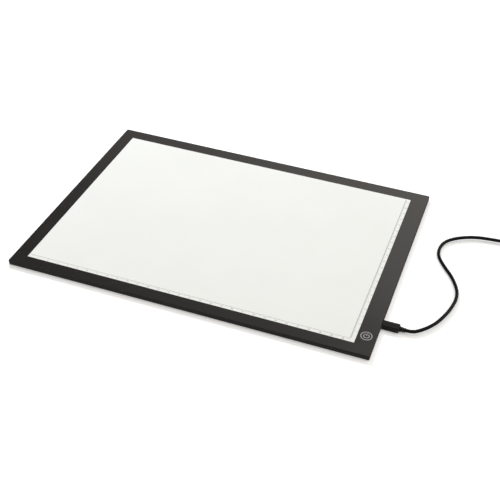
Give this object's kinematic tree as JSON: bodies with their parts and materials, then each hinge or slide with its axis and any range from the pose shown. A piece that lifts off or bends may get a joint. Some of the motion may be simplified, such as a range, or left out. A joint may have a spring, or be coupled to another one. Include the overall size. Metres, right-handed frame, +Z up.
{
  "type": "light box",
  "caption": "Thin edge-lit light box for tracing: a white drawing panel in a flat black frame, with a touch key and a plug-in USB power lead.",
  "frame": {"origin": "under the middle of the pad, on the surface that its feet stand on", "axes": "+X along the pad's long side towards the USB socket, +Y from the front edge to the back edge, +Z up out of the drawing panel"},
  "size_m": [0.4934, 0.245, 0.008],
  "materials": {
    "cover_black": "fine moulded texture",
    "frame_black": "satin black",
    "symbol_grey": "light grey inlay",
    "panel_white": "white translucent acrylic, satin",
    "diffuser_white": "matt film",
    "guide_clear": "clear acrylic with a dotted underside",
    "reflector_white": "white film",
    "bar_white": "white solder mask on glass laminate",
    "led_yellow": "phosphor in a white housing",
    "tape_white": "double-sided adhesive tape",
    "board_green": "green solder mask on glass laminate",
    "chip_black": "moulded epoxy",
    "ceramic_tan": "matt",
    "foam_grey": "conductive foam",
    "contact_gold": "bright",
    "wire_red": "satin insulation",
    "wire_black": "satin insulation",
    "screw_steel": "blackened steel",
    "shell_steel": "nickel plated",
    "foot_rubber": "matt",
    "core_black": "moulded insulator",
    "plug_black": "satin soft plastic",
    "cord_black": "satin jacket",
    "tie_black": "woven hook-and-loop"
  },
  "bodies": {
    "pad": {"back_cover": "cover_black", "front_frame": "frame_black", "touch_symbol": "symbol_grey", "drawing_panel": "panel_white", "diffuser_sheet": "diffuser_white", "light_guide": "guide_clear", "reflector_sheet": "reflector_white", "edge_tape_left": "reflector_white", "edge_tape_right": "reflector_white", "led_bar_front": "bar_white", "led_bar_back": "bar_white", "leds_front": "led_yellow", "leds_back": "led_yellow", "bar_tape_front": "tape_white", "bar_tape_back": "tape_white", "control_board": "board_green", "touch_chip": "chip_black", "dimmer_transistor": "chip_black", "board_capacitors": "ceramic_tan", "board_resistors": "chip_black", "touch_foam": "foam_grey", "touch_foil": "contact_gold", "wire_front_red": "wire_red", "wire_front_black": "wire_black", "wire_back_red": "wire_red", "wire_back_black": "wire_black", "case_screws": "screw_steel", "foot_front_left": "foot_rubber", "foot_front_right": "foot_rubber", "foot_back_left": "foot_rubber", "foot_back_right": "foot_rubber", "usb_socket_shell": "shell_steel", "usb_socket_tongue": "core_black", "usb_socket_contacts": "contact_gold"},
    "lead": {"plug_shell": "shell_steel", "plug_core": "core_black", "plug_contacts": "contact_gold", "plug_body": "plug_black", "plug_relief": "plug_black", "usb_cord": "cord_black", "cord_coil": "cord_black", "cord_tail": "cord_black", "cord_tie_1": "tie_black", "cord_tie_2": "tie_black", "usb_a_relief": "plug_black", "usb_a_body": "plug_black", "usb_a_shell": "shell_steel", "usb_a_core": "core_black", "usb_a_contacts": "contact_gold"}
  },
  "joints": [
    {"name": "lead_slide", "type": "slide", "parent": "pad", "child": "lead", "axis": [1, 0, 0], "range_m": [0, 0.02]}
  ]
}
